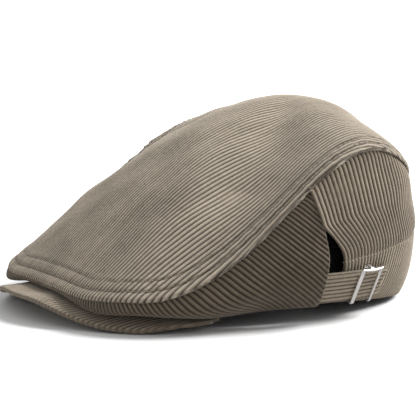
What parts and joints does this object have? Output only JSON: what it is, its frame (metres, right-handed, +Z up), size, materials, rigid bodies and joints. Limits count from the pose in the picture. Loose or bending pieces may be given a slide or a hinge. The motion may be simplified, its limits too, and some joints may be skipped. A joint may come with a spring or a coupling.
{
  "type": "newsboy cap",
  "caption": "Corduroy newsboy cap: low front, high rounded back, short curved peak, and a back band with a strap and slider buckle at a side slit.",
  "frame": {"origin": "centre of the bounding box's underside, on the surface that the cap rests on", "axes": "-Y is the front (the peak), +X is the wearer's left, +Z is up"},
  "size_m": [0.2158, 0.2436, 0.1158],
  "materials": {
    "corduroy": "ribbed cotton corduroy, khaki brown",
    "lining": "smooth black satin weave",
    "dark_tape": "matte black twill tape",
    "board": "matte stiffener board",
    "thread": "matte sewing thread",
    "buckle_metal": "bright nickel plate"
  },
  "bodies": {
    "crown": {"top_panel": "corduroy", "side_panel_left": "corduroy", "side_panel_right": "corduroy", "back_panel": "corduroy", "back_band": "corduroy", "buckle": "buckle_metal", "buckle_tab": "corduroy", "sweatband": "dark_tape", "lining_top": "lining", "lining_left": "lining", "lining_right": "lining", "lining_back": "lining", "slit_facing_front": "corduroy", "slit_facing_rear": "corduroy"},
    "peak": {"peak_upper_cover": "corduroy", "peak_lower_cover": "corduroy", "peak_board": "board"},
    "strap": {"strap": "corduroy", "strap_tack": "thread"}
  },
  "joints": [
    {"name": "peak_flex", "type": "hinge", "parent": "crown", "child": "peak", "pos_m": [-0.00212, -0.0395, 0.006], "axis": [1, 0, 0], "range_deg": [0, 10], "stiffness_Nm_per_rad": 0.25},
    {"name": "strap_adjust", "type": "hinge", "parent": "crown", "child": "strap", "pos_m": [-0.04012, 0.01456, 0.0194], "axis": [0, 0, 1], "range_deg": [-0.9, 3.5]}
  ]
}
